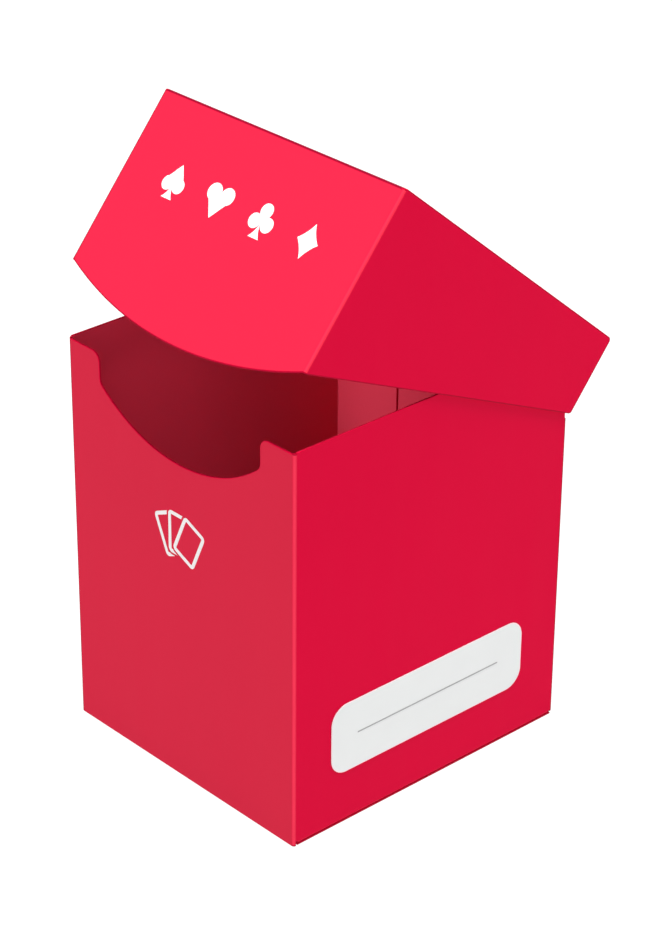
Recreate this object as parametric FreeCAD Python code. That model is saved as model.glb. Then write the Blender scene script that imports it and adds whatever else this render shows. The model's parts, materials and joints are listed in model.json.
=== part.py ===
import FreeCAD, Part
import math
import os

from FreeCAD import Vector

# Card deck box: one die-cut polypropylene sheet, creased and welded, with an over-lid on a living hinge.
# Millimetres. The origin is the centre of the base's underside, +X right, +Y back, +Z up.
# The lid is drawn closed and then turned open to its rest angle.

# Sheet
SHEET = 0.5                 # thickness of the panels
FOLD_RADIUS = 0.7           # outer radius of every crease
WEB = 0.25                  # sheet left at the living hinge

# Body
BODY_WIDTH = 73.8
BODY_DEPTH = 80.8
BODY_HEIGHT = 96.4
FRONT_TOP_DROP = 0.4        # the front wall stops this far below the side walls
EDGE_SETBACK = 0.1          # the base's cut edges sit this far inside the side walls
FLAP_END_GAP = 0.4          # relief at each end of a flap, beside the next wall

# Thumb notch in the front wall
NOTCH_HALF_WIDTH = 26.3
NOTCH_DEPTH = 17.2
NOTCH_ARC_RADIUS = 40.5
NOTCH_SHOULDER_RADIUS = 2.4
NOTCH_CORNER_RADIUS = 2.5

# The side walls slope down behind this point, which leaves room for the closed lid's tabs
SLOPE_START_Y = 4.0
SLOPE_END_Z = 79.7

# Glue tabs and flaps of the body
REAR_TAB_WIDTH = 20.0
REAR_TAB_TAPER = 5.0
GLUE_FLAP_HEIGHT = 17.0
GLUE_FLAP_TAPER = 4.0
DUST_FLAP_WIDTH = 24.0
DUST_FLAP_TAPER = 5.0
FLAP_CORNER_RADIUS = 2.0

# Living hinge
HINGE_Z = 78.0
HINGE_OFFSET = 0.05         # the turning axis lies this far behind the back wall
HINGE_HALF_HEIGHT = 0.9
LID_OPEN_DEG = 39.8         # rest pose, counted from closed

# Lid
LID_SIDE_GAP = 0.08         # between a lid side and the body side
LID_TOP_GAP = 0.5           # between the closed lid's top and the body's rim
SWING_CLEARANCE = 0.1       # as the lid's front passes the body's front edge
LID_SIDE_PROUD = 0.25       # the lid sides stand this far behind the back wall
LID_SIDE_LIFT = 0.4         # and start this far above the hinge axis
LID_FRONT_HEIGHT = 42.2     # at its two ends
LID_FRONT_SAG = 7.0         # extra height of its curved lower edge at the middle
LID_CORNER_RADIUS = 1.0
LID_TAB_GAP = 1.0           # between the lid's tabs and the slope of the body sides
LID_TAB_RELIEF = 0.15       # cut at each end of a tab's crease
LID_BACK_TAB_DEPTH = 10.0
LID_BACK_TAB_TOP_DROP = 3.0
LID_TOP_TAB_FRONT_Y = 13.0
LID_TOP_TAB_BACK_Y = 27.0
LID_TOP_TAB_DROP = 8.0
LID_TAB_TAPER = 2.0
LID_TAB_CORNER_RADIUS = 0.8

# Label and prints
LABEL_WIDTH = 58.4
LABEL_HEIGHT = 17.5
LABEL_CENTRE_Y = -0.45
LABEL_CENTRE_Z = 21.87
LABEL_RADIUS = 4.5
LABEL_THICKNESS = 0.15
RULE_LENGTH = 43.0
RULE_HEIGHT = 0.3
INK = 0.05
PIP_SIZE = 8.0
PIP_PITCH = 14.0
PIP_ROW_BELOW_TOP = 17.9
CARD_ICON_WIDTH = 7.4
CARD_ICON_HEIGHT = 10.4
CARD_ICON_LINE = 0.9
CARD_ICON_RADIUS = 1.1
CARD_ICON_FAN_DEG = 24.0
CARD_ICON_Z = 62.0
CARD_ICON_PIVOT_DROP = 7.5

# Derived sizes
HALF_WIDTH = BODY_WIDTH / 2
HALF_DEPTH = BODY_DEPTH / 2
HINGE_Y = HALF_DEPTH + HINGE_OFFSET
INSIDE_RADIUS = FOLD_RADIUS - SHEET
LID_HALF_WIDTH = HALF_WIDTH + LID_SIDE_GAP + SHEET
LID_INNER_HALF = LID_HALF_WIDTH - SHEET
LID_REACH = math.hypot(BODY_DEPTH + HINGE_OFFSET, BODY_HEIGHT - HINGE_Z) + SWING_CLEARANCE
LID_FRONT_Y = HINGE_Y - LID_REACH - SHEET
LID_TOP_Z = BODY_HEIGHT + LID_TOP_GAP + SHEET
SLOPE = (BODY_HEIGHT - SLOPE_END_Z) / (HALF_DEPTH - FOLD_RADIUS - SLOPE_START_Y)
QUARTER = 90.0


def slope_z(y):
    """Height of the sloping top edge of a body side wall."""
    return BODY_HEIGHT - (y - SLOPE_START_Y) * SLOPE


LID_BACK_TAB_LOW_Z = slope_z(HALF_DEPTH - FOLD_RADIUS) + LID_TAB_GAP
LID_BACK_TAB_HIGH_Z = LID_TOP_Z - LID_BACK_TAB_TOP_DROP


def prism(axis, low, high, start, *steps):
    """Extrude a closed outline from low to high along an axis.

    Points are (y, z) for axis x, (x, z) for axis y and (x, y) for axis z.
    A step is a point, or an arc written as (point on it, end point).
    """
    lift = {"x": lambda p: Vector(low, p[0], p[1]),
            "y": lambda p: Vector(p[0], low, p[1]),
            "z": lambda p: Vector(p[0], p[1], low)}[axis]
    along = {"x": Vector(1, 0, 0), "y": Vector(0, 1, 0), "z": Vector(0, 0, 1)}[axis]
    edges = []
    here = start
    for step in steps + (start,):
        if isinstance(step[0], tuple):
            edges.append(Part.Arc(lift(here), lift(step[0]), lift(step[1])).toShape())
            here = step[1]
        elif math.dist(here, step) > 1e-6:
            edges.append(Part.LineSegment(lift(here), lift(step)).toShape())
            here = step
    return Part.Face(Part.Wire(edges)).extrude(along * (high - low))


def rectangle(axis, low, high, u_low, u_high, v_low, v_high):
    """A plain plate."""
    return prism(axis, low, high, (u_low, v_low), (u_high, v_low), (u_high, v_high), (u_low, v_high))


def round_corners(solid, axis, radius, corners):
    """Round the edges that run along an axis through the given corner points."""
    pick = {"x": lambda p: (p.y, p.z), "y": lambda p: (p.x, p.z), "z": lambda p: (p.x, p.y)}[axis]
    chosen = []
    for edge in solid.Edges:
        first, last = pick(edge.Vertexes[0].Point), pick(edge.Vertexes[-1].Point)
        if math.dist(first, last) < 1e-6 and any(math.dist(first, c) < 1e-3 for c in corners):
            chosen.append(edge)
    return solid.makeFillet(radius, chosen)


def crease(axis, low, high, centre, towards):
    """A quarter-round crease: centre of the bend, and the quadrant that it fills as two signs."""
    def on_arc(radius, degrees):
        angle = math.radians(degrees)
        return (centre[0] + towards[0] * radius * math.cos(angle),
                centre[1] + towards[1] * radius * math.sin(angle))
    return prism(axis, low, high,
                 on_arc(FOLD_RADIUS, 0),
                 (on_arc(FOLD_RADIUS, QUARTER / 2), on_arc(FOLD_RADIUS, QUARTER)),
                 on_arc(INSIDE_RADIUS, QUARTER),
                 (on_arc(INSIDE_RADIUS, QUARTER / 2), on_arc(INSIDE_RADIUS, 0)))


def mirrored(solid):
    """The same piece on the other side of the box."""
    return solid.mirror(Vector(0, 0, 0), Vector(1, 0, 0))


def opened(solid):
    """Turn a lid piece from closed to its rest angle."""
    turned = solid.copy()
    turned.rotate(Vector(0, HINGE_Y, HINGE_Z), Vector(1, 0, 0), -LID_OPEN_DEG)
    return turned


# Body walls

def front_panel():
    top = BODY_HEIGHT - FRONT_TOP_DROP
    half = HALF_WIDTH - FOLD_RADIUS
    wall = rectangle("y", -HALF_DEPTH, -HALF_DEPTH + SHEET, -half, half, 0, top)
    bottom = BODY_HEIGHT - NOTCH_DEPTH
    arc_end = bottom + NOTCH_ARC_RADIUS - math.sqrt(NOTCH_ARC_RADIUS ** 2 - NOTCH_HALF_WIDTH ** 2)
    above = BODY_HEIGHT + 1
    notch = prism("y", -HALF_DEPTH - 1, -HALF_DEPTH + SHEET + 1,
                  (-NOTCH_HALF_WIDTH, above), (-NOTCH_HALF_WIDTH, arc_end),
                  ((0, bottom), (NOTCH_HALF_WIDTH, arc_end)), (NOTCH_HALF_WIDTH, above))
    wall = wall.cut(notch)
    wall = round_corners(wall, "y", NOTCH_CORNER_RADIUS,
                         [(-NOTCH_HALF_WIDTH, arc_end), (NOTCH_HALF_WIDTH, arc_end)])
    return round_corners(wall, "y", NOTCH_SHOULDER_RADIUS,
                         [(-NOTCH_HALF_WIDTH, top), (NOTCH_HALF_WIDTH, top)])


def side_panel(back_end):
    """Right-hand side wall that stops at back_end."""
    front = -HALF_DEPTH + FOLD_RADIUS
    low = SHEET + FOLD_RADIUS
    return prism("x", HALF_WIDTH - SHEET, HALF_WIDTH,
                 (front, low), (back_end, low), (back_end, slope_z(back_end)),
                 (SLOPE_START_Y, BODY_HEIGHT), (front, BODY_HEIGHT))


def back_panel():
    return rectangle("y", HALF_DEPTH - SHEET, HALF_DEPTH,
                     -HALF_WIDTH, HALF_WIDTH - FOLD_RADIUS, FOLD_RADIUS, HINGE_Z - HINGE_HALF_HEIGHT)


def bottom_panel():
    half = HALF_WIDTH - EDGE_SETBACK
    return rectangle("z", 0, SHEET, -half, half, -HALF_DEPTH + SHEET + FOLD_RADIUS, HALF_DEPTH - FOLD_RADIUS)


def rear_glue_tab():
    low, high = SHEET + FOLD_RADIUS, HINGE_Z - 2 * HINGE_HALF_HEIGHT
    left = -HALF_WIDTH + FOLD_RADIUS
    right = left + REAR_TAB_WIDTH
    ends = [(right, low + REAR_TAB_TAPER), (right, high - REAR_TAB_TAPER)]
    tab = prism("y", HALF_DEPTH - 2 * SHEET, HALF_DEPTH - SHEET, (left, low), ends[0], ends[1], (left, high))
    return round_corners(tab, "y", FLAP_CORNER_RADIUS, ends)


def bottom_glue_flap():
    half = HALF_WIDTH - FOLD_RADIUS - FLAP_END_GAP
    ends = [(half - GLUE_FLAP_TAPER, GLUE_FLAP_HEIGHT), (GLUE_FLAP_TAPER - half, GLUE_FLAP_HEIGHT)]
    flap = prism("y", -HALF_DEPTH + SHEET, -HALF_DEPTH + 2 * SHEET,
                 (-half, FOLD_RADIUS), (half, FOLD_RADIUS), ends[0], ends[1])
    return round_corners(flap, "y", FLAP_CORNER_RADIUS, ends)


def dust_flap():
    """Right-hand flap, folded in from the side wall and lying on the base."""
    outer = HALF_WIDTH - FOLD_RADIUS
    inner = outer - DUST_FLAP_WIDTH
    half = HALF_DEPTH - 2 * SHEET - FLAP_END_GAP
    ends = [(inner, half - DUST_FLAP_TAPER), (inner, DUST_FLAP_TAPER - half)]
    flap = prism("z", SHEET, 2 * SHEET, (outer, -half), (outer, half), ends[0], ends[1])
    return round_corners(flap, "z", FLAP_CORNER_RADIUS, ends)


# Lid pieces, drawn closed

def tabbed_panel(axis, low, high, near, far, tab_near, tab_far):
    """A lid panel that runs from near to far, set in on both sides where its tabs fold away."""
    wide, narrow = LID_INNER_HALF, LID_INNER_HALF - FOLD_RADIUS
    tab_near, tab_far = tab_near - LID_TAB_RELIEF, tab_far + LID_TAB_RELIEF
    side = [(wide, near), (wide, tab_near), (narrow, tab_near),
            (narrow, tab_far), (wide, tab_far), (wide, far)]
    other_side = [(-u, v) for u, v in reversed(side)]
    return prism(axis, low, high, *side, *other_side)


def lid_back_panel():
    return tabbed_panel("y", HALF_DEPTH - SHEET, HALF_DEPTH,
                        HINGE_Z + HINGE_HALF_HEIGHT, LID_TOP_Z - FOLD_RADIUS,
                        LID_BACK_TAB_LOW_Z, LID_BACK_TAB_HIGH_Z)


def lid_top_panel():
    return tabbed_panel("z", LID_TOP_Z - SHEET, LID_TOP_Z,
                        LID_FRONT_Y + FOLD_RADIUS, HALF_DEPTH - FOLD_RADIUS,
                        LID_TOP_TAB_FRONT_Y, LID_TOP_TAB_BACK_Y)


def lid_front_panel():
    half = LID_HALF_WIDTH - FOLD_RADIUS
    low = LID_TOP_Z - LID_FRONT_HEIGHT
    return prism("y", LID_FRONT_Y, LID_FRONT_Y + SHEET,
                 (-half, low), ((0, low - LID_FRONT_SAG), (half, low)),
                 (half, LID_TOP_Z - FOLD_RADIUS), (-half, LID_TOP_Z - FOLD_RADIUS))


def lid_side_panel():
    back = HALF_DEPTH + LID_SIDE_PROUD
    front = LID_FRONT_Y + FOLD_RADIUS
    hinge_corner, top_corner = (back, HINGE_Z + LID_SIDE_LIFT), (back, LID_TOP_Z)
    side = prism("x", LID_INNER_HALF, LID_HALF_WIDTH, (front, LID_TOP_Z - LID_FRONT_HEIGHT),
                 hinge_corner, top_corner, (front, LID_TOP_Z))
    return round_corners(side, "x", LID_CORNER_RADIUS, [hinge_corner, top_corner])


def lid_back_tab():
    """Folds forward from the lid's back and is welded inside the side."""
    back = HALF_DEPTH - FOLD_RADIUS
    front = back - LID_BACK_TAB_DEPTH
    ends = [(front, slope_z(front) + LID_TAB_GAP), (front, LID_BACK_TAB_HIGH_Z - LID_TAB_TAPER)]
    tab = prism("x", LID_INNER_HALF - SHEET, LID_INNER_HALF,
                (back, LID_BACK_TAB_LOW_Z), ends[0], ends[1], (back, LID_BACK_TAB_HIGH_Z))
    return round_corners(tab, "x", LID_TAB_CORNER_RADIUS, ends)


def lid_top_tab():
    """Folds down from the lid's top and is welded inside the side."""
    top, low = LID_TOP_Z - FOLD_RADIUS, LID_TOP_Z - LID_TOP_TAB_DROP
    ends = [(LID_TOP_TAB_FRONT_Y + LID_TAB_TAPER, slope_z(LID_TOP_TAB_FRONT_Y + LID_TAB_TAPER) + LID_TAB_GAP),
            (LID_TOP_TAB_BACK_Y - LID_TAB_TAPER, low)]
    tab = prism("x", LID_INNER_HALF - SHEET, LID_INNER_HALF,
                (LID_TOP_TAB_FRONT_Y, top), ends[0], ends[1], (LID_TOP_TAB_BACK_Y, top))
    return round_corners(tab, "x", LID_TAB_CORNER_RADIUS, ends)


def lid_hinge():
    """Thinned web, bent at rest: it joins the back wall's top edge to the lid's back."""
    def turned(y, z):
        angle = math.radians(LID_OPEN_DEG)
        return (HINGE_Y + y * math.cos(angle) + z * math.sin(angle),
                HINGE_Z - y * math.sin(angle) + z * math.cos(angle))
    outer, inner, end = -HINGE_OFFSET, -HINGE_OFFSET - WEB, HINGE_HALF_HEIGHT
    half_way = math.radians(LID_OPEN_DEG / 2)
    bend = (HINGE_Y + inner * math.cos(half_way), HINGE_Z - inner * math.sin(half_way))
    half = HALF_WIDTH - FOLD_RADIUS
    return prism("x", -half, half,
                 (HINGE_Y + outer, HINGE_Z - end), (HINGE_Y + outer, HINGE_Z), turned(outer, 0),
                 turned(outer, end), turned(inner, end), turned(inner, 0), (bend, (HINGE_Y + inner, HINGE_Z)),
                 (HINGE_Y + inner, HINGE_Z - end))


# Label and prints

def label():
    front, back = LABEL_CENTRE_Y - LABEL_WIDTH / 2, LABEL_CENTRE_Y + LABEL_WIDTH / 2
    low, high = LABEL_CENTRE_Z - LABEL_HEIGHT / 2, LABEL_CENTRE_Z + LABEL_HEIGHT / 2
    sheet = rectangle("x", HALF_WIDTH, HALF_WIDTH + LABEL_THICKNESS, front, back, low, high)
    return round_corners(sheet, "x", LABEL_RADIUS,
                         [(front, low), (back, low), (front, high), (back, high)])


def label_rule_line():
    outer = HALF_WIDTH + LABEL_THICKNESS
    return rectangle("x", outer, outer + INK,
                     LABEL_CENTRE_Y - RULE_LENGTH / 2, LABEL_CENTRE_Y + RULE_LENGTH / 2,
                     LABEL_CENTRE_Z - RULE_HEIGHT / 2, LABEL_CENTRE_Z + RULE_HEIGHT / 2)


def ink(face_y, *shape):
    """A printed patch on a front-facing wall."""
    return prism("y", face_y - INK, face_y, *shape)


def disc(face_y, x, z, radius):
    left, right = (x - radius, z), (x + radius, z)
    return ink(face_y, left, ((x, z + radius), right), ((x, z - radius), left))


def pip_stem(face_y, x, z, size):
    """A narrow stem that flares to a flat foot."""
    top, foot_z, waist_z = (x, z + 0.05 * size), z - 0.5 * size, z - 0.28 * size
    waist, foot = 0.06 * size, 0.2 * size
    return ink(face_y, top, ((x - waist, waist_z), (x - foot, foot_z)),
               (x + foot, foot_z), ((x + waist, waist_z), top))


def diamond_pip(face_y, x, z, size):
    """A diamond with slightly hollow sides."""
    half_w, half_h, hollow = 0.38 * size, 0.5 * size, 0.44
    points = [(x + half_w * u, z + half_h * v) for u, v in ((0, -1), (1, 0), (0, 1), (-1, 0), (0, -1))]
    sides = [((x + (a[0] + b[0] - 2 * x) * hollow, z + (a[1] + b[1] - 2 * z) * hollow), b)
             for a, b in zip(points, points[1:])]
    return ink(face_y, points[0], *sides)


def heart_pip(face_y, x, z, size, up=1):
    """A heart; with up = -1 it stands on its head."""
    lobe = 0.25 * size
    lobe_z = z + up * 0.2 * size
    tip = (x, z - up * 0.5 * size)
    reach = math.dist((x + lobe, lobe_z), tip)
    swing = math.atan2(abs(tip[1] - lobe_z), lobe) - math.acos(lobe / reach)
    side_x, side_z = lobe + lobe * math.cos(swing), -up * lobe * math.sin(swing)
    body = ink(face_y, tip, (x + side_x, lobe_z + side_z), (x, lobe_z + up * 0.02 * size),
               (x - side_x, lobe_z + side_z))
    for side in (-1, 1):
        body = body.fuse(disc(face_y, x + side * lobe, lobe_z, lobe))
    return body.removeSplitter()


def spade_pip(face_y, x, z, size):
    leaf = heart_pip(face_y, x, z + 0.08 * size, 0.84 * size, up=-1)
    return leaf.fuse(pip_stem(face_y, x, z, size)).removeSplitter()


def club_pip(face_y, x, z, size):
    lobe = 0.215 * size
    body = disc(face_y, x, z + 0.5 * size - lobe, lobe)
    for side in (-1, 1):
        body = body.fuse(disc(face_y, x + side * 0.235 * size, z - 0.06 * size, lobe))
    core = rectangle("y", face_y - INK, face_y,
                     x - 0.12 * size, x + 0.12 * size, z - 0.12 * size, z + 0.2 * size)
    return body.fuse(core).fuse(pip_stem(face_y, x, z, size)).removeSplitter()


def lid_print():
    """The four playing-card suits in a row."""
    suits = [spade_pip, heart_pip, club_pip, diamond_pip]
    row_z = LID_TOP_Z - PIP_ROW_BELOW_TOP
    first = -PIP_PITCH * (len(suits) - 1) / 2
    return Part.makeCompound([suit(LID_FRONT_Y, first + i * PIP_PITCH, row_z, PIP_SIZE)
                              for i, suit in enumerate(suits)])


def card_outline(x_shift, line):
    """One upright blank card, centred on the icon, grown or shrunk by line."""
    half_w, half_h = CARD_ICON_WIDTH / 2 + line, CARD_ICON_HEIGHT / 2 + line
    low, high = CARD_ICON_Z - half_h, CARD_ICON_Z + half_h
    card = rectangle("y", -HALF_DEPTH - INK, -HALF_DEPTH, x_shift - half_w, x_shift + half_w, low, high)
    corners = [(x_shift + sx * half_w, z) for sx in (-1, 1) for z in (low, high)]
    return round_corners(card, "y", CARD_ICON_RADIUS + line, corners)


def body_print():
    """Three blank cards held in a fan, as line work."""
    pivot = Vector(0, 0, CARD_ICON_Z - CARD_ICON_PIVOT_DROP)
    drawn = []
    for turn in (-CARD_ICON_FAN_DEG, 0, CARD_ICON_FAN_DEG):
        rim = card_outline(0, 0)
        inside = card_outline(0, -CARD_ICON_LINE)
        clear = card_outline(0, CARD_ICON_LINE * 0.6)
        for shape in (rim, inside, clear):
            shape.rotate(pivot, Vector(0, 1, 0), turn)
        drawn = [piece.cut(clear) for piece in drawn]
        drawn.append(rim.cut(inside))
    solids = [solid for piece in drawn for solid in piece.Solids]
    return Part.makeCompound(solids)


# Every node by name

body_top = HINGE_Z - HINGE_HALF_HEIGHT
fold_x, fold_y = HALF_WIDTH - FOLD_RADIUS, HALF_DEPTH - FOLD_RADIUS
lid_fold_x, tab_fold_x = LID_HALF_WIDTH - FOLD_RADIUS, LID_INNER_HALF - FOLD_RADIUS
lid_front_fold_y, lid_fold_z = LID_FRONT_Y + FOLD_RADIUS, LID_TOP_Z - FOLD_RADIUS
front_fold = crease("z", 0, BODY_HEIGHT - FRONT_TOP_DROP / 2, (fold_x, -fold_y), (1, -1))
dust_fold = crease("y", -fold_y + FLAP_END_GAP / 2, fold_y - FLAP_END_GAP / 2,
                   (fold_x, SHEET + FOLD_RADIUS), (1, -1))
left_dust_fold = crease("y", -fold_y + FLAP_END_GAP / 2, fold_y - SHEET - FLAP_END_GAP / 2,
                        (-fold_x, SHEET + FOLD_RADIUS), (-1, -1))
lid_side_fold = crease("z", LID_TOP_Z - LID_FRONT_HEIGHT, LID_TOP_Z - INSIDE_RADIUS,
                       (lid_fold_x, lid_front_fold_y), (1, -1))
lid_back_tab_fold = crease("z", LID_BACK_TAB_LOW_Z, LID_BACK_TAB_HIGH_Z, (tab_fold_x, fold_y), (1, 1))
lid_top_tab_fold = crease("y", LID_TOP_TAB_FRONT_Y, LID_TOP_TAB_BACK_Y, (tab_fold_x, lid_fold_z), (1, 1))

nodes = {
    "front_panel": front_panel(),
    "right_side_panel": side_panel(fold_y),
    "left_side_panel": mirrored(side_panel(fold_y - SHEET)),
    "back_panel": back_panel(),
    "bottom_panel": bottom_panel(),
    "rear_glue_tab": rear_glue_tab(),
    "bottom_glue_flap": bottom_glue_flap(),
    "right_dust_flap": dust_flap(),
    "left_dust_flap": mirrored(dust_flap()),
    "front_right_fold": front_fold,
    "front_left_fold": mirrored(front_fold),
    "back_right_fold": crease("z", FOLD_RADIUS, body_top, (fold_x, fold_y), (1, 1)),
    "back_left_fold": crease("z", SHEET + FOLD_RADIUS, body_top - HINGE_HALF_HEIGHT,
                             (-fold_x, fold_y - SHEET), (-1, 1)),
    "bottom_back_fold": crease("x", -HALF_WIDTH + EDGE_SETBACK, fold_x, (fold_y, FOLD_RADIUS), (1, -1)),
    "bottom_front_fold": crease("x", -fold_x + FLAP_END_GAP, fold_x - FLAP_END_GAP,
                                (-fold_y + SHEET, FOLD_RADIUS), (-1, -1)),
    "right_dust_fold": dust_fold,
    "left_dust_fold": left_dust_fold,
    "write_on_label": label(),
    "label_rule_line": label_rule_line(),
    "body_print": body_print(),
    "lid_hinge": lid_hinge(),
}

lid_nodes = {
    "lid_back_panel": lid_back_panel(),
    "lid_top_panel": lid_top_panel(),
    "lid_front_panel": lid_front_panel(),
    "lid_right_side_panel": lid_side_panel(),
    "lid_left_side_panel": mirrored(lid_side_panel()),
    "lid_top_back_fold": crease("x", -LID_INNER_HALF, LID_INNER_HALF, (fold_y, lid_fold_z), (1, 1)),
    "lid_top_front_fold": crease("x", -lid_fold_x, lid_fold_x, (lid_front_fold_y, lid_fold_z), (-1, 1)),
    "lid_right_fold": lid_side_fold,
    "lid_left_fold": mirrored(lid_side_fold),
    "lid_right_back_tab": lid_back_tab(),
    "lid_left_back_tab": mirrored(lid_back_tab()),
    "lid_right_back_tab_fold": lid_back_tab_fold,
    "lid_left_back_tab_fold": mirrored(lid_back_tab_fold),
    "lid_right_top_tab": lid_top_tab(),
    "lid_left_top_tab": mirrored(lid_top_tab()),
    "lid_right_top_tab_fold": lid_top_tab_fold,
    "lid_left_top_tab_fold": mirrored(lid_top_tab_fold),
    "lid_print": lid_print(),
}
nodes.update({name: opened(solid) for name, solid in lid_nodes.items()})

os.makedirs("parts", exist_ok=True)
for name, shape in nodes.items():
    shape.exportStep(f"parts/{name}.step")
    box = shape.BoundBox
    print(f"{name:26s} valid {shape.isValid()}  solids {len(shape.Solids)}  volume {shape.Volume:9.3f}"
          f"  x {box.XMin:.2f} {box.XMax:.2f}  y {box.YMin:.2f} {box.YMax:.2f}"
          f"  z {box.ZMin:.2f} {box.ZMax:.2f}")
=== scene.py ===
import json
import math

import bmesh
import bpy
from mathutils import Euler, Matrix, Vector

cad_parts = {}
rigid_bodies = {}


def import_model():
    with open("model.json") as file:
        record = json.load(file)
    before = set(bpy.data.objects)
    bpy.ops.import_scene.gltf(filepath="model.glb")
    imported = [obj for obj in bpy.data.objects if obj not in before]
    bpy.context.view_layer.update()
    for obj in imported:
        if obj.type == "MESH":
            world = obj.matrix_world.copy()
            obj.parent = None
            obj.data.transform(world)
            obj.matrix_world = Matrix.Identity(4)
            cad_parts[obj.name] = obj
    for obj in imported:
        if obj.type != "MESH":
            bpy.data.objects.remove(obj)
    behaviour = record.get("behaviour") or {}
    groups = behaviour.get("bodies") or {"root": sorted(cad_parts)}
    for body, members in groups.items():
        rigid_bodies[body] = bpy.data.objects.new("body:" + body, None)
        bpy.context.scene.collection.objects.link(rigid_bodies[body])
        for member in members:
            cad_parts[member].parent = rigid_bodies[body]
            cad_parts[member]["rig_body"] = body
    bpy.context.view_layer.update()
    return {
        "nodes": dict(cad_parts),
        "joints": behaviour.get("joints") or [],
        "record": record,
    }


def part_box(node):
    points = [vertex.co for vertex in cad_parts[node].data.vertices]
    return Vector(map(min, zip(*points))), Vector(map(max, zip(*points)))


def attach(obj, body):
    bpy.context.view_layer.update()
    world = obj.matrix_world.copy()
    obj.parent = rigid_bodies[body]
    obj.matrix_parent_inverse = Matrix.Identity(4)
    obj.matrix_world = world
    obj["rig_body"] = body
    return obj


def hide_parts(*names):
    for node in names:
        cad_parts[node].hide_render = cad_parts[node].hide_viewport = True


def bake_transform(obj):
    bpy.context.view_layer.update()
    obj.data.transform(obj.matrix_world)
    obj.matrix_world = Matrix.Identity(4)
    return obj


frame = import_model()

# Card deck box: one die-cut polypropylene sheet, creased and welded, with an over-lid on a living hinge.
# Metres. Every place comes from the frame's node boxes; the lid's pieces are drawn shut, as its sheet
# folds square then, and turned to the rest angle at the end.

MM = 0.001

# Sheet
SHEET = 0.5 * MM
FOLD_RADIUS = 0.7 * MM          # outer radius of every crease
CUT_RADIUS = 0.13 * MM          # rounding that the cutting die leaves on an edge
EDGE_LEAD = 0.4                 # width of the flat strip beside a rounding, in its radius
LID_EDGE_LEAD = 1.3             # the same on the lid, where the darker strip along its border is a painted shade
ROUNDING_DEG = (0, 30, 60, 90)
CREASE_STEPS = 9
CREASE_END = 0.2 * MM           # how far the darker colour at a crease's cut end reaches, a painted shade
CREASE_LEAD_DEG = 0.5           # thin first facet of a crease, which keeps the shading of its panel flat
SHARP_DEG = 35.0                # faces that meet at more than this are shaded apart
WELD = 1e-7                     # points closer than this are one
STRAIGHT = 1e-4                 # sine of the smallest turn that counts as a corner

# Living hinge
WEB = 0.25 * MM                 # thickness left at its middle
HINGE_STEPS = 28
HINGE_THINNING = 4              # how late the strip thins towards its middle

# Thumb notch
NOTCH_HALF_WIDTH = 26.3 * MM
NOTCH_DEPTH = 17.2 * MM         # below the side walls' top
NOTCH_ARC_RADIUS = 40.5 * MM
NOTCH_SHOULDER_RADIUS = 2.4 * MM
NOTCH_CORNER_RADIUS = 2.5 * MM

# Die-cut details
SLOPE_START_Y = 4.0 * MM        # the side walls' tops slope down behind this
END_REACH = 0.1 * MM            # points this close to a wall's back end are on it
REAR_TAB_TAPER = 5.0 * MM
GLUE_FLAP_TAPER = 4.0 * MM
DUST_FLAP_TAPER = 5.0 * MM
FLAP_CORNER_RADIUS = 2.0 * MM
LID_SIDE_LIFT = 0.4 * MM        # the lid's sides start this far above the hinge axis
LID_FRONT_SAG = 7.0 * MM
LID_CORNER_RADIUS = 1.0 * MM
LID_TAB_TAPER = 2.0 * MM
LID_TAB_GAP = 1.0 * MM
LID_TAB_RELIEF = 0.15 * MM
LID_TAB_CORNER_RADIUS = 0.8 * MM

# Label and prints
LABEL_RADIUS = 4.5 * MM
LABEL_EDGE = 0.05 * MM
LABEL_EDGE_LEAD = 4.5           # the film's border lets the red behind it through
RULE_EDGE = 0.02 * MM
RULE_RADIUS = 0.149 * MM        # just under half the line's width
INK_SHEEN = 0.3

# Camera
CAMERA_PLACE = Vector((0.42674, -0.39025, 0.37239))
CAMERA_YAW, CAMERA_PITCH, CAMERA_ROLL = 47.179, 28.052, 0.577
CAMERA_LENS = 113.12
SENSOR_WIDTH = 36.0
CLIP_NEAR, CLIP_FAR = 0.01, 100.0

# Studio
FLOOR_HALF = 12.0
FLOOR_DROP = 0.02 * MM
WORLD_LOW, WORLD_HIGH = 0.02, 0.35      # the sky fades between these heights of a direction
SKY_LOW, SKY_HIGH = 0.6, 0.1            # its strength at the horizon and overhead

OUTSIDE, INSIDE, CUT_EDGE, ROUNDED = 0, 1, 2, 3     # material slots of a piece of sheet
AXES = {"x": (0, 1, 2), "y": (1, 0, 2), "z": (2, 0, 1)}     # across a face, then its u and v


# Places from the frame

hinge_joint = frame["joints"][0]
HINGE = Vector(hinge_joint["pos_m"])
OPEN_DEG = -hinge_joint["range_deg"][0]
OPENING = (Matrix.Translation(HINGE)
           @ Matrix.Rotation(math.radians(OPEN_DEG), 4, Vector(hinge_joint["axis"]))
           @ Matrix.Translation(-HINGE))
SHUTTING = OPENING.inverted()


def shut_box(node):
    """Lowest and highest corner of a CAD node with the lid shut."""
    if node not in frame["record"]["behaviour"]["bodies"]["lid"]:
        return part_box(node)
    points = [SHUTTING @ vertex.co for vertex in frame["nodes"][node].data.vertices]
    return (Vector([min(p[i] for p in points) for i in range(3)]),
            Vector([max(p[i] for p in points) for i in range(3)]))


def face_box(node, axis):
    """Lowest and highest corner of a node in the u and v of its face."""
    low, high = shut_box(node)
    _, u, v = AXES[axis]
    return low[u], low[v], high[u], high[v]


# Outlines: lists of (point, is the edge that starts there die-cut), counter-clockwise in u and v

def cut(*points):
    return [(Vector(p), True) for p in points]


def joined(*points):
    return [(Vector(p), False) for p in points]


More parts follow.
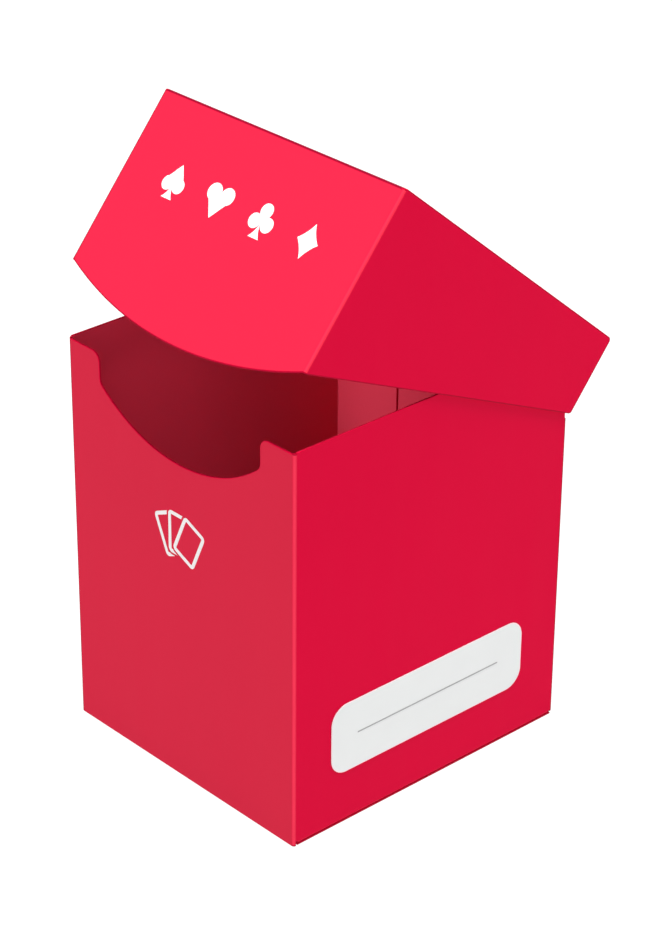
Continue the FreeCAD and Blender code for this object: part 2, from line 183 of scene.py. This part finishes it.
def arc(centre, radius, start_deg, end_deg, step_deg=5.0):
    """Points along an arc, both ends included."""
    count = max(2, math.ceil(abs(end_deg - start_deg) / step_deg))
    angles = [math.radians(start_deg + (end_deg - start_deg) * i / count) for i in range(count + 1)]
    return [(centre[0] + radius * math.cos(a), centre[1] + radius * math.sin(a)) for a in angles]


def fillet(before, corner, after, radius):
    """Points of the arc that rounds a corner between two straight edges."""
    before, corner, after = Vector(before), Vector(corner), Vector(after)
    first, second = (before - corner).normalized(), (after - corner).normalized()
    half = first.angle(second) / 2
    centre = corner + (first + second).normalized() * (radius / math.sin(half))
    start = corner + first * (radius / math.tan(half)) - centre
    end = corner + second * (radius / math.tan(half)) - centre
    start_deg = math.degrees(math.atan2(start.y, start.x))
    turn = math.degrees(math.atan2(start.x * end.y - start.y * end.x, start.dot(end)))
    return arc(centre, radius, start_deg, start_deg + turn)


def inset(outline, distance):
    """The outline moved inwards along its die-cut edges; joined edges stay where they are."""
    ring = []
    for i, (point, is_cut) in enumerate(outline):
        before, before_cut = outline[i - 1]
        after, _ = outline[(i + 1) % len(outline)]
        one, two = (point - before).normalized(), (after - point).normalized()
        one_in, two_in = Vector((-one.y, one.x)), Vector((-two.y, two.x))
        one_by, two_by = distance * before_cut, distance * is_cut
        turn = one_in.x * two_in.y - one_in.y * two_in.x
        if abs(turn) > STRAIGHT:
            ring.append(point + Vector((one_by * two_in.y - two_by * one_in.y,
                                        two_by * one_in.x - one_by * two_in.x)) / turn)
        else:
            ring.append(point + one_in * min(one_by, two_by))
    return ring


# Meshes

def new_piece(name, bm):
    """A named object from a bmesh, smooth except at its sharp edges."""
    bmesh.ops.remove_doubles(bm, verts=bm.verts, dist=WELD)
    bmesh.ops.recalc_face_normals(bm, faces=bm.faces)
    mesh = bpy.data.meshes.new(name)
    bm.to_mesh(mesh)
    bm.free()
    mesh.shade_smooth()
    mesh.set_sharp_from_angle(angle=math.radians(SHARP_DEG))
    piece = bpy.data.objects.new(name, mesh)
    bpy.context.scene.collection.objects.link(piece)
    return piece


def lift(axis, across, point):
    """A point of a face in space."""
    w, u, v = AXES[axis]
    place = [0.0, 0.0, 0.0]
    place[w], place[u], place[v] = across, point[0], point[1]
    return Vector(place)


def rounding(radius):
    """(depth, inset) of the steps over a rounded edge, from a face to the side."""
    angles = [math.radians(a) for a in ROUNDING_DEG]
    return [(radius * (1 - math.cos(a)), radius * (1 - math.sin(a))) for a in angles]


def rim_profile(thickness, radius, lead):
    """(depth, inset) of each ring from one face over the rounded edge to the other."""
    near = [(0.0, radius * (1 + lead)), *rounding(radius)]
    return near + [(thickness - depth, by) for depth, by in reversed(near)]


def end_to_end(start, end, steps):
    """(place, inset) of each ring along a strip whose two ends are rounded."""
    return [(start + depth, by) for depth, by in steps] + [(end - depth, by) for depth, by in reversed(steps)]


def plate(name, axis, near, far, outline, radius=CUT_RADIUS, lead=EDGE_LEAD):
    """A flat sheet piece between two faces, its die-cut edges rounded."""
    bm = bmesh.new()
    towards = 1 if far > near else -1
    rings = [[bm.verts.new(lift(axis, near + towards * depth, point)) for point in inset(outline, by)]
             for depth, by in rim_profile(abs(far - near), radius, lead)]
    count = len(outline)
    last = len(rings) - 2
    for step, (first, second) in enumerate(zip(rings, rings[1:])):
        for i in range(count):
            j = (i + 1) % count
            band = bm.faces.new((first[i], first[j], second[j], second[i]))
            if step == last:
                band.material_index = INSIDE
            elif outline[i][1]:
                band.material_index = ROUNDED if step < len(ROUNDING_DEG) - 1 else CUT_EDGE
    bm.faces.new(rings[0])
    bm.faces.new(reversed(rings[-1])).material_index = INSIDE
    return new_piece(name, bm)


def bend_faces(bm, rings, end_bands):
    """Skin the rings of a bent strip; each ring is its outer line, then its inner line back again."""
    count = len(rings[0])
    half = count // 2
    for step, (first, second) in enumerate(zip(rings, rings[1:])):
        is_end = min(step, len(rings) - 2 - step) < end_bands
        for i in range(count):
            j = (i + 1) % count
            band = bm.faces.new((first[i], first[j], second[j], second[i]))
            band.material_index = CUT_EDGE if is_end else INSIDE if half <= i < count - 1 else OUTSIDE
    for ring in (rings[0], rings[-1]):
        for i in range(half - 1):
            cap = bm.faces.new((ring[i], ring[i + 1], ring[count - 2 - i], ring[count - 1 - i]))
            cap.material_index = CUT_EDGE


def crease(name, axis, low, high, signs):
    """A quarter-round crease between two corners of its box, bulging to the side that the signs say."""
    bm = bmesh.new()
    edge = bm.verts.layers.float.new("edge")
    w, u, v = AXES[axis]
    centre = [low[i] if sign > 0 else high[i] for i, sign in zip((u, v), signs)]
    angles = [0.0, CREASE_LEAD_DEG]
    angles += [90.0 * i / CREASE_STEPS for i in range(1, CREASE_STEPS)]
    angles += [90.0 - CREASE_LEAD_DEG, 90.0]
    end_steps = rounding(CUT_RADIUS) + [(CUT_RADIUS + CREASE_END, 0.0)]
    inner_radius = FOLD_RADIUS - SHEET
    rings = []
    for along, by in end_to_end(low[w], high[w], end_steps):
        ring = []
        for radius, way in ((FOLD_RADIUS - by, 1), (inner_radius + by, -1)):
            for degrees in angles[::way]:
                a = math.radians(degrees)
                point = (centre[0] + signs[0] * radius * math.cos(a),
                         centre[1] + signs[1] * radius * math.sin(a))
                vertex = bm.verts.new(lift(axis, along, point))
                # edge peaks halfway round the outer face: the mask of the crease's painted highlight and
                # painted shade
                vertex[edge] = math.sin(2 * a) if way > 0 else 0.0
                ring.append(vertex)
        rings.append(ring)
    bend_faces(bm, rings, len(end_steps) - 1)
    return new_piece(name, bm)


# Outlines of the pieces

def front_outline():
    left, low, right, top = face_box("front_panel", "y")
    side_top = shut_box("right_side_panel")[1].z
    bottom = side_top - NOTCH_DEPTH
    arc_z = bottom + NOTCH_ARC_RADIUS
    corner_x = NOTCH_HALF_WIDTH - NOTCH_CORNER_RADIUS
    reach = NOTCH_ARC_RADIUS - NOTCH_CORNER_RADIUS
    corner_z = arc_z - math.sqrt(reach ** 2 - corner_x ** 2)
    arc_end_deg = math.degrees(math.atan2(corner_z - arc_z, corner_x))
    shoulder = (NOTCH_HALF_WIDTH + NOTCH_SHOULDER_RADIUS, top - NOTCH_SHOULDER_RADIUS)
    half_notch = arc(shoulder, NOTCH_SHOULDER_RADIUS, 90, 180)
    half_notch += arc((corner_x, corner_z), NOTCH_CORNER_RADIUS, 0, arc_end_deg)
    across = arc((0, arc_z), NOTCH_ARC_RADIUS, arc_end_deg, -180 - arc_end_deg, 2.0)[1:-1]
    other_half = [(-x, z) for x, z in reversed(half_notch)]
    return (cut((left, low)) + joined((right, low))
            + cut((right, top), *half_notch, *across, *other_half) + joined((left, top)))


def side_wall_outline(node):
    front, low, back, top = face_box(node, "x")
    full_back, full_top, end_z = side_slope()
    back_z = top - (back - SLOPE_START_Y) * (full_top - end_z) / (full_back - SLOPE_START_Y)
    return (joined((front, low), (back, low)) + cut((back, back_z), (SLOPE_START_Y, top))
            + joined((front, top)))


def side_slope():
    """Back end, top, and height at the back end of the right side wall."""
    low, high = shut_box("right_side_panel")
    slope_low = min(v.co.z for v in frame["nodes"]["right_side_panel"].data.vertices
                    if v.co.y > high.y - END_REACH and v.co.z > high.z / 2)
    return high.y, high.z, slope_low


def back_wall_outline():
    left, low, right, top = face_box("back_panel", "y")
    return joined((left, low), (right, low), (right, top)) + cut((left, top))


def base_outline():
    left, front, right, back = face_box("bottom_panel", "z")
    fold_left, fold_right = shut_box("bottom_front_fold")[0].x, shut_box("bottom_front_fold")[1].x
    rear_right = shut_box("bottom_back_fold")[1].x
    return (cut((left, front)) + joined((fold_left, front)) + cut((fold_right, front), (right, front))
            + cut((right, back)) + joined((rear_right, back)) + cut((left, back)))


def flap_outline(node, axis, taper, radius, free_side):
    """A tab whose far edge is shorter by a taper at each end; free_side says where that edge is."""
    left, low, right, high = face_box(node, axis)
    corners = {
        "right": [(left, high), (left, low), (right, low + taper), (right, high - taper)],
        "left": [(right, low), (right, high), (left, high - taper), (left, low + taper)],
        "top": [(left, low), (right, low), (right - taper, high), (left + taper, high)],
    }[free_side]
    first, second, third, fourth = corners
    return (joined(first) + cut(second, *fillet(second, third, fourth, radius),
                                *fillet(third, fourth, first, radius)))


def tabbed_outline(node, axis, fold_node):
    """A lid panel, set in on both sides where its tabs fold away."""
    left, near, right, far = face_box(node, axis)
    low, high = shut_box(fold_node)
    v = AXES[axis][2]
    tab_near, tab_far = low[v] - LID_TAB_RELIEF, high[v] + LID_TAB_RELIEF
    narrow = low.x
    right_side = (cut((right, near), (right, tab_near)) + joined((narrow, tab_near))
                  + cut((narrow, tab_far), (right, tab_far)) + joined((right, far)))
    left_side = (cut((left, far), (left, tab_far)) + joined((-narrow, tab_far))
                 + cut((-narrow, tab_near), (left, tab_near)))
    return right_side + left_side + joined((left, near))


def lid_front_outline():
    left, low, right, top = face_box("lid_front_panel", "y")
    rise = LID_FRONT_SAG
    radius = (right ** 2 + rise ** 2) / (2 * rise)
    half_deg = math.degrees(math.asin(right / radius))
    curve = arc((0, low + radius), radius, -90 - half_deg, -90 + half_deg, 1.0)
    return cut(*curve[:-1]) + joined(curve[-1], (right, top), (left, top))


def lid_side_outline(node):
    front, _, back, top = face_box(node, "x")
    front_low = shut_box("lid_right_fold")[0].z
    hinge_low = HINGE.z + LID_SIDE_LIFT
    hinge_corner, top_corner = (back, hinge_low), (back, top)
    return (cut((front, front_low), *fillet((front, front_low), hinge_corner, top_corner, LID_CORNER_RADIUS),
                *fillet(hinge_corner, top_corner, (front, top), LID_CORNER_RADIUS))
            + joined((front, top)))


def lid_back_tab_outline(node):
    front, low, back, high = face_box(node, "x")
    full_back, full_top, end_z = side_slope()
    slope = (full_top - end_z) / (full_back - SLOPE_START_Y)
    front_low = low + (back - front) * slope
    corners = [(front, high - LID_TAB_TAPER), (front, front_low)]
    return (joined((back, low)) + cut((back, high),
            *fillet((back, high), corners[0], corners[1], LID_TAB_CORNER_RADIUS),
            *fillet(corners[0], corners[1], (back, low), LID_TAB_CORNER_RADIUS)))


def lid_top_tab_outline(node):
    front, low, back, high = face_box(node, "x")
    full_back, full_top, end_z = side_slope()
    slope = (full_top - end_z) / (full_back - SLOPE_START_Y)
    front_low = full_top - (front + LID_TAB_TAPER - SLOPE_START_Y) * slope + LID_TAB_GAP
    corners = [(front + LID_TAB_TAPER, front_low), (back - LID_TAB_TAPER, low)]
    return (joined((back, high)) + cut((front, high),
            *fillet((front, high), corners[0], corners[1], LID_TAB_CORNER_RADIUS),
            *fillet(corners[0], corners[1], (back, high), LID_TAB_CORNER_RADIUS)))


def rounded_rectangle(node, axis, radius):
    left, low, right, high = face_box(node, axis)
    corners = [(left, low), (right, low), (right, high), (left, high)]
    points = []
    for i, corner in enumerate(corners):
        points += fillet(corners[i - 1], corner, corners[(i + 1) % 4], radius)
    return cut(*points)


# Materials

def scaled(colour, by=1.0):
    """A colour with its alpha, made lighter or darker."""
    return tuple(channel * by for channel in colour) + (1.0,)


class Recipe:
    """A node material being put together around one Principled shader."""

    def __init__(self, name):
        self.material = bpy.data.materials.new(name)
        self.material.use_nodes = True
        self.tree = self.material.node_tree
        self.shader = self.tree.nodes["Principled BSDF"]
        self.place = self.node("ShaderNodeTexCoord").outputs["Object"]

    def node(self, kind, inputs=None, **settings):
        made = self.tree.nodes.new(kind)
        for key, value in settings.items():
            setattr(made, key, value)
        for key, value in (inputs or {}).items():
            self.plug(made, key, value)
        return made

    def plug(self, node, key, value):
        if isinstance(value, bpy.types.NodeSocket):
            self.tree.links.new(value, node.inputs[key])
        else:
            node.inputs[key].default_value = value

    def noise(self, scale, detail=2.0, roughness=0.5, stretch=(1, 1, 1)):
        place = self.place
        if stretch != (1, 1, 1):
            place = self.node("ShaderNodeMapping", {"Vector": place, "Scale": stretch}).outputs["Vector"]
        made = self.node("ShaderNodeTexNoise",
                         {"Vector": place, "Scale": scale, "Detail": detail, "Roughness": roughness})
        return made.outputs["Fac"]

    def spread(self, value, low, high, from_low=0.25, from_high=0.75):
        """A noise value spread from low to high."""
        made = self.node("ShaderNodeMapRange", {"Value": value, "From Min": from_low, "From Max": from_high,
                                                "To Min": low, "To Max": high})
        return made.outputs["Result"]

    def mix(self, share, first, second, blend="MIX"):
        made = self.node("ShaderNodeMix", data_type="RGBA", blend_type=blend)
        for socket, value in zip([made.inputs[0], made.inputs[6], made.inputs[7]], (share, first, second)):
            if isinstance(value, bpy.types.NodeSocket):
                self.tree.links.new(value, socket)
            else:
                socket.default_value = value
        return made.outputs[2]

    def bump(self, height, distance, strength=1.0, under=None):
        inputs = {"Height": height, "Distance": distance, "Strength": strength}
        if under is not None:
            inputs["Normal"] = under
        return self.node("ShaderNodeBump", inputs).outputs["Normal"]

    def finish(self, **inputs):
        for key, value in inputs.items():
            self.plug(self.shader, key.replace("_", " "), value)
        return self.material


def red_polypropylene(name, colour, crease_light_shade_colour=None, crease_full=1.0):
    """Matte red sheet with a fine grain, slightly uneven, and along a crease blended towards a crease colour:
    a painted highlight where that colour is lighter, a painted shade where it is darker.
    """
    recipe = Recipe(name)
    clouds = recipe.noise(scale=28.0, detail=3.0)
    mottle = recipe.noise(scale=900.0)
    base = recipe.mix(recipe.spread(clouds, 0.0, 1.0), scaled(colour, 1.015), scaled(colour, 0.985))
    base = recipe.mix(recipe.spread(mottle, 0.0, 0.5), base, scaled(colour, 1.02))
    if crease_light_shade_colour:
        # the edge attribute is the mask of the crease's painted highlight and painted shade
        edge = recipe.node("ShaderNodeAttribute", attribute_name="edge").outputs["Fac"]
        base = recipe.mix(recipe.spread(edge, 0.0, 1.0, 0.0, crease_full), base, scaled(crease_light_shade_colour))
    grain = recipe.noise(scale=2600.0, detail=3.0, roughness=0.6)
    waves = recipe.noise(scale=220.0, detail=1.0)
    normal = recipe.bump(waves, distance=0.12 * MM, strength=0.12)
    normal = recipe.bump(grain, distance=0.03 * MM, strength=0.35, under=normal)
    scuffs = recipe.noise(scale=160.0, detail=4.0, roughness=0.65, stretch=(1, 1, 0.12))
    gloss = recipe.spread(scuffs, 0.45, 0.55)
    return recipe.finish(Base_Color=base, Roughness=gloss, Normal=normal, Specular_IOR_Level=0.03)


def white_ink(name, tint):
    """Screen-printed ink: nearly flat white with the faint mesh of the screen."""
    recipe = Recipe(name)
    mesh = recipe.noise(scale=3800.0)
    patches = recipe.noise(scale=300.0)
    base = recipe.mix(recipe.spread(patches, 0.0, 1.0), scaled(tint), scaled(tint, 0.96))
    return recipe.finish(Base_Color=base, Roughness=recipe.spread(mesh, 0.38, 0.5),
                         Normal=recipe.bump(mesh, distance=0.01 * MM, strength=0.5),
                         Specular_IOR_Level=INK_SHEEN)


def label_film(name, tint):
    """Writable white film: satin, with a fine tooth."""
    recipe = Recipe(name)
    tooth = recipe.noise(scale=5200.0, detail=3.0, roughness=0.7)
    clouds = recipe.noise(scale=90.0)
    base = recipe.mix(recipe.spread(clouds, 0.0, 1.0), scaled(tint), scaled(tint, 0.976))
    return recipe.finish(Base_Color=base, Roughness=recipe.spread(tooth, 0.32, 0.44),
                         Normal=recipe.bump(tooth, distance=0.01 * MM, strength=0.4),
                         Specular_IOR_Level=INK_SHEEN)


def grey_ink():
    """Thin printed line, a little uneven."""
    recipe = Recipe("grey_rule_ink")
    mesh = recipe.noise(scale=4200.0)
    base = recipe.mix(recipe.spread(mesh, 0.0, 1.0), (0.28, 0.28, 0.285, 1), (0.36, 0.36, 0.365, 1))
    return recipe.finish(Base_Color=base, Roughness=0.5,
                         Normal=recipe.bump(mesh, distance=0.01 * MM, strength=0.5))


def floor_paint():
    """Matte ground that glows white, so that no shadow shows on it."""
    recipe = Recipe("studio_floor")
    clouds = recipe.noise(scale=3.0)
    base = recipe.mix(recipe.spread(clouds, 0.0, 1.0), (0.12, 0.12, 0.12, 1), (0.115, 0.115, 0.115, 1))
    return recipe.finish(Base_Color=base, Roughness=0.8, Specular_IOR_Level=0.0,
                         Emission_Color=(1, 1, 1, 1), Emission_Strength=0.953)


# Fitting a piece to its CAD node

SIDE_RED = red_polypropylene("red_polypropylene_side", (0.70, 0.0, 0.039))
# The same sheet as the side's red, paler on faces across y and z and paler still on inner faces: a painted
# sheen, a reflected white veil.
FRONT_SHEEN_RED = red_polypropylene("red_polypropylene_painted_sheen_front", (0.70, 0.018, 0.055))
INSIDE_SHEEN_RED = red_polypropylene("red_polypropylene_painted_sheen_inside", (0.69, 0.048, 0.092))
SIDE_INSIDE_SHEEN_RED = red_polypropylene("red_polypropylene_painted_sheen_side_inside", (0.69, 0.038, 0.084))
# Darker red for cut edges, crease and hinge ends and most roundings beside the faces: a painted shade, as
# where the lid shades the rims.
EDGE_SHADE_RED = red_polypropylene("red_polypropylene_painted_shade_cut_edge", (0.45, 0.001, 0.025))
# The right wall's cut rim: darker than its faces as painted shade, lighter than the other cut edges as
# painted light where the lid shades it.
RIM_LIGHT_SHADE_RED = red_polypropylene("red_polypropylene_painted_light_and_shade_cut_rim", (0.54, 0.006, 0.034))
# Lighter red along the middle of the lit creases and the hinge: a painted highlight.
CREASE_HIGHLIGHT_RED = red_polypropylene("red_polypropylene_painted_highlight_crease", (0.70, 0.010, 0.048), (0.95, 0.042, 0.095))
LID_CREASE_HIGHLIGHT_RED = red_polypropylene("red_polypropylene_painted_highlight_lid_crease", (0.70, 0.010, 0.048),
                                   (0.95, 0.032, 0.073))
# Darker red along the middle of the other creases: a painted shade.
CREASE_SHADE_RED = red_polypropylene("red_polypropylene_painted_shade_crease", (0.68, 0.008, 0.045),
                                (0.24, 0.003, 0.020), 0.6)
# Lighter red along the middle of the base folds: painted light against the shade next to the floor.
BASE_CREASE_LIGHT_RED = red_polypropylene("red_polypropylene_painted_light_base_crease", (0.70, 0.001, 0.040), (0.90, 0.004, 0.055))
LID_INK = white_ink("white_print_bright", (0.98, 0.98, 0.98))
BODY_INK = white_ink("white_print_soft", (0.92, 0.89, 0.89))
FILM = label_film("white_label_film_satin", (0.82, 0.835, 0.83))
FILM_EDGE = label_film("white_label_film_edge", (1.0, 0.73, 0.79))
# Dark red for the white film's cut side: a painted shade, a dark ring round the label.
FILM_SHADED_SIDE = label_film("label_film_painted_shade_side", (0.42, 0.008, 0.040))
GREY = grey_ink()


def fit(piece, node, materials):
    """The piece stands for a CAD node: it takes its materials, its body and its rest place."""
    body = frame["nodes"][node]["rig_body"]
    if body == "lid":
        piece.data.transform(OPENING)
    for material in materials:
        piece.data.materials.append(material)
    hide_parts(node)
    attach(piece, body)


def faces_of(node, axis, outward):
    """Where a flat node's outer and inner face lie on its axis."""
    low, high = shut_box(node)
    w = AXES[axis][0]
    return (high[w], low[w]) if outward > 0 else (low[w], high[w])


def make_plate(node, axis, outward, outline, rounded=EDGE_SHADE_RED, edge=EDGE_SHADE_RED):
    near, far = faces_of(node, axis, outward)
    # faces across y and z and all inner faces take the painted-sheen copies of the red
    faces = (SIDE_RED, SIDE_INSIDE_SHEEN_RED) if axis == "x" else (FRONT_SHEEN_RED, INSIDE_SHEEN_RED)
    lead = LID_EDGE_LEAD if node in frame["record"]["behaviour"]["bodies"]["lid"] else EDGE_LEAD
    fit(plate(node + "_sheet", axis, near, far, outline, lead=lead), node, (*faces, edge, rounded))


def make_crease(node, axis, signs, outside=CREASE_SHADE_RED):
    low, high = shut_box(node)
    fit(crease(node + "_sheet", axis, low, high, signs), node, (outside, INSIDE_SHEEN_RED, EDGE_SHADE_RED))


def make_body():
    make_plate("front_panel", "y", -1, front_outline(), SIDE_RED)
    # the right wall's cut rim takes the painted light-and-shade rim colour
    make_plate("right_side_panel", "x", 1, side_wall_outline("right_side_panel"), SIDE_RED, RIM_LIGHT_SHADE_RED)
    make_plate("left_side_panel", "x", -1, side_wall_outline("left_side_panel"))
    make_plate("back_panel", "y", 1, back_wall_outline())
    make_plate("bottom_panel", "z", -1, base_outline())
    make_plate("rear_glue_tab", "y", 1,
               flap_outline("rear_glue_tab", "y", REAR_TAB_TAPER, FLAP_CORNER_RADIUS, "right"))
    make_plate("bottom_glue_flap", "y", -1,
               flap_outline("bottom_glue_flap", "y", GLUE_FLAP_TAPER, FLAP_CORNER_RADIUS, "top"))
    make_plate("right_dust_flap", "z", 1,
               flap_outline("right_dust_flap", "z", DUST_FLAP_TAPER, FLAP_CORNER_RADIUS, "left"))
    make_plate("left_dust_flap", "z", 1,
               flap_outline("left_dust_flap", "z", DUST_FLAP_TAPER, FLAP_CORNER_RADIUS, "right"))
    # The front-right crease takes a painted highlight, the other creases a painted shade, the base folds
    # painted light.
    make_crease("front_right_fold", "z", (1, -1), CREASE_HIGHLIGHT_RED)
    make_crease("front_left_fold", "z", (-1, -1))
    make_crease("back_right_fold", "z", (1, 1))
    make_crease("back_left_fold", "z", (-1, 1))
    make_crease("bottom_back_fold", "x", (1, -1))
    make_crease("bottom_front_fold", "x", (-1, -1))
    make_crease("right_dust_fold", "y", (1, -1), BASE_CREASE_LIGHT_RED)
    make_crease("left_dust_fold", "y", (-1, -1), BASE_CREASE_LIGHT_RED)


def make_lid():
    make_plate("lid_back_panel", "y", 1, tabbed_outline("lid_back_panel", "y", "lid_right_back_tab_fold"))
    make_plate("lid_top_panel", "z", 1, tabbed_outline("lid_top_panel", "z", "lid_right_top_tab_fold"))
    make_plate("lid_front_panel", "y", -1, lid_front_outline())
    for side, outward in (("right", 1), ("left", -1)):
        make_plate(f"lid_{side}_side_panel", "x", outward, lid_side_outline(f"lid_{side}_side_panel"))
        make_plate(f"lid_{side}_back_tab", "x", outward, lid_back_tab_outline(f"lid_{side}_back_tab"))
        make_plate(f"lid_{side}_top_tab", "x", outward, lid_top_tab_outline(f"lid_{side}_top_tab"))
        # The lid's right crease takes a painted highlight, its left crease a painted shade.
        outside = LID_CREASE_HIGHLIGHT_RED if side == "right" else CREASE_SHADE_RED
        make_crease(f"lid_{side}_fold", "z", (outward, -1), outside)
        make_crease(f"lid_{side}_back_tab_fold", "z", (outward, 1))
        make_crease(f"lid_{side}_top_tab_fold", "y", (outward, 1))
    make_crease("lid_top_back_fold", "x", (1, 1))
    make_crease("lid_top_front_fold", "x", (-1, 1))


def eased(share):
    """From 0 to 1 with a soft start and end."""
    return share * share * (3 - 2 * share)


def make_hinge():
    """The living hinge: a strip thinned from inside, bent between the back wall and the lid."""
    low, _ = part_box("lid_hinge")
    half_height = HINGE.z - low.z
    half_width = -low.x
    outer_y = shut_box("back_panel")[1].y
    bm = bmesh.new()
    edge = bm.verts.layers.float.new("edge")
    end_steps = rounding(CUT_RADIUS)
    rings = []
    for x, by in end_to_end(-half_width, half_width, end_steps):
        ring = []
        for inner in (False, True):
            for i in range(HINGE_STEPS + 1):
                share = 1 - i / HINGE_STEPS if inner else i / HINGE_STEPS
                off = abs(2 * share - 1)
                thickness = WEB + (SHEET - WEB) * off ** HINGE_THINNING
                y = outer_y - (thickness - by if inner else by)
                turn = math.radians(-OPEN_DEG) * eased(share)
                arm = Vector((0, y - HINGE.y, (2 * share - 1) * half_height))
                arm.rotate(Euler((turn, 0, 0)))
                vertex = bm.verts.new(Vector((x, HINGE.y, HINGE.z)) + arm)
                # edge peaks along the hinge's middle: the mask of its painted highlight
                vertex[edge] = 1 - off ** 2
                ring.append(vertex)
        rings.append(ring)
    bend_faces(bm, rings, len(end_steps) - 1)
    piece = new_piece("lid_hinge_strip", bm)
    # a painted highlight along the hinge's middle, painted sheen inside, painted shade at its cut ends
    for material in (CREASE_HIGHLIGHT_RED, INSIDE_SHEEN_RED, EDGE_SHADE_RED):
        piece.data.materials.append(material)
    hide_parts("lid_hinge")
    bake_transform(piece)


def make_label_and_prints():
    near, far = faces_of("write_on_label", "x", 1)
    outline = rounded_rectangle("write_on_label", "x", LABEL_RADIUS)
    label = plate("write_on_label_film", "x", near, far, outline, LABEL_EDGE, LABEL_EDGE_LEAD)
    # the film's cut side takes the dark red of the painted shade ring
    fit(label, "write_on_label", (FILM, FILM, FILM_SHADED_SIDE, FILM_EDGE))
    near, far = faces_of("label_rule_line", "x", 1)
    outline = rounded_rectangle("label_rule_line", "x", RULE_RADIUS)
    rule = plate("label_rule_ink", "x", near, far, outline, RULE_EDGE)
    fit(rule, "label_rule_line", (GREY, GREY, GREY, GREY))
    for node, material in (("lid_print", LID_INK), ("body_print", BODY_INK)):
        cad = frame["nodes"][node]
        cad.material_slots[0].link = "OBJECT"
        cad.material_slots[0].material = material


# Studio

def make_floor():
    bm = bmesh.new()
    corners = ((-1, -1), (1, -1), (1, 1), (-1, 1))
    bm.faces.new([bm.verts.new((FLOOR_HALF * x, FLOOR_HALF * y, 0)) for x, y in corners])
    floor = new_piece("studio_floor", bm)
    floor.location.z = -FLOOR_DROP
    floor.data.materials.append(floor_paint())


def make_sun(name, towards, strength, size_deg):
    """A distant soft light that shines from the given direction."""
    lamp = bpy.data.lights.new(name, "SUN")
    lamp.energy = strength
    lamp.angle = math.radians(size_deg)
    sun = bpy.data.objects.new(name, lamp)
    sun.rotation_euler = Vector(towards).to_track_quat("Z", "Y").to_euler()
    bpy.context.scene.collection.objects.link(sun)


def make_panel_light(name, place, towards, size, watts, spread_deg):
    """A small soft panel that shines towards one side; place and size in millimetres."""
    lamp = bpy.data.lights.new(name, "AREA")
    lamp.shape = "RECTANGLE"
    lamp.size, lamp.size_y = size[0] * MM, size[1] * MM
    lamp.energy = watts
    lamp.spread = math.radians(spread_deg)
    panel = bpy.data.objects.new(name, lamp)
    panel.location = Vector(place) * MM
    panel.rotation_euler = (-Vector(towards)).to_track_quat("Z", "Y").to_euler()
    panel.visible_camera = False
    bpy.context.scene.collection.objects.link(panel)


def make_world():
    """A white sky, brighter near the horizon."""
    world = bpy.data.worlds.new("studio_world")
    bpy.context.scene.world = world
    world.use_nodes = True
    tree = world.node_tree
    place = tree.nodes.new("ShaderNodeTexCoord")
    split = tree.nodes.new("ShaderNodeSeparateXYZ")
    fade = tree.nodes.new("ShaderNodeMapRange")
    fade.inputs["From Min"].default_value = WORLD_LOW
    fade.inputs["From Max"].default_value = WORLD_HIGH
    fade.inputs["To Min"].default_value = SKY_LOW
    fade.inputs["To Max"].default_value = SKY_HIGH
    background = tree.nodes["Background"]
    tree.links.new(place.outputs["Generated"], split.inputs["Vector"])
    tree.links.new(split.outputs["Z"], fade.inputs["Value"])
    tree.links.new(fade.outputs["Result"], background.inputs["Strength"])
    background.inputs["Color"].default_value = (1, 1, 1, 1)


def make_camera():
    camera = bpy.data.cameras.new("camera")
    camera.lens = CAMERA_LENS
    camera.sensor_width = SENSOR_WIDTH
    camera.clip_start, camera.clip_end = CLIP_NEAR, CLIP_FAR
    rig = bpy.data.objects.new("camera", camera)
    turn = (Matrix.Rotation(math.radians(CAMERA_YAW), 4, "Z")
            @ Matrix.Rotation(math.radians(90 - CAMERA_PITCH), 4, "X")
            @ Matrix.Rotation(math.radians(CAMERA_ROLL), 4, "Z"))
    rig.matrix_world = Matrix.Translation(CAMERA_PLACE) @ turn
    bpy.context.scene.collection.objects.link(rig)
    bpy.context.scene.camera = rig


make_body()
make_lid()
make_hinge()
make_label_and_prints()
make_floor()
make_sun("front_light", towards=(0.0, -0.92, 0.39), strength=0.70, size_deg=30.0)
make_sun("right_light", towards=(0.93, 0.22, 0.30), strength=0.44, size_deg=60.0)
make_sun("top_light", towards=(0.05, 0.1, 1.0), strength=5.6, size_deg=36.0)
make_panel_light("inside_light", place=(14.0, -36.0, 84.0), towards=(-1, 0.05, 0.1), size=(6, 30),
                 watts=0.0040, spread_deg=180.0)
make_panel_light("inside_back_light", place=(-28.0, -36.0, 55.0), towards=(0.03, 1, 0.1), size=(12, 60),
                 watts=0.0043, spread_deg=60.0)
make_world()
make_camera()
bpy.context.scene.view_settings.view_transform = "Standard"
